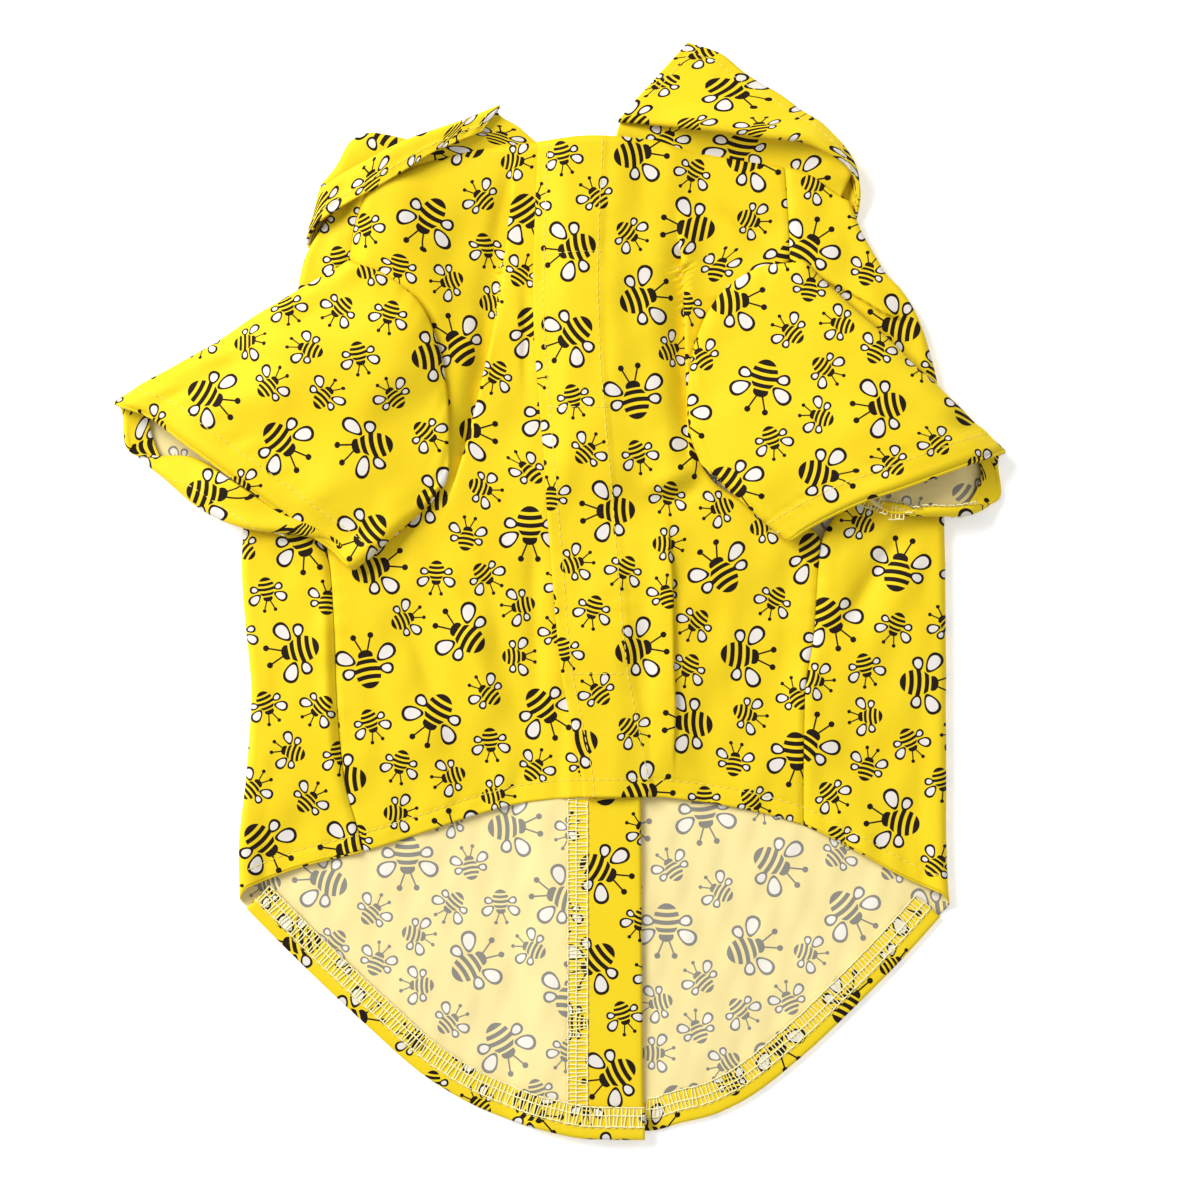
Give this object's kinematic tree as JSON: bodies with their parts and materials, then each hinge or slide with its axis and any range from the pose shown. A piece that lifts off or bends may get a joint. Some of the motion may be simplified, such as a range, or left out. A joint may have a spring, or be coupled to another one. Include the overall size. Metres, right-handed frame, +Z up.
{
  "type": "dog shirt",
  "caption": "Short-sleeved cotton shirt for a small dog, laid flat on a table with its belly side up and its cuffs gaping.",
  "frame": {"origin": "centre of the footprint on the table, under the lowest cloth", "axes": "+Z up from the table, +Y toward the neck, +X to the side where the right back panel lies"},
  "size_m": [0.2465, 0.3056, 0.0152],
  "materials": {
    "yellow_print": "matt woven cotton, printed with small bees; its wrong side is pale yellow"
  },
  "bodies": {
    "root": {"back_left": "yellow_print", "back_right": "yellow_print", "facing_left": "yellow_print", "tail_hem_left": "yellow_print", "tail_hem_right": "yellow_print", "belly_left": "yellow_print", "belly_right": "yellow_print", "sleeve_left": "yellow_print", "sleeve_right": "yellow_print", "collar_left": "yellow_print", "collar_right": "yellow_print"}
  },
  "joints": []
}
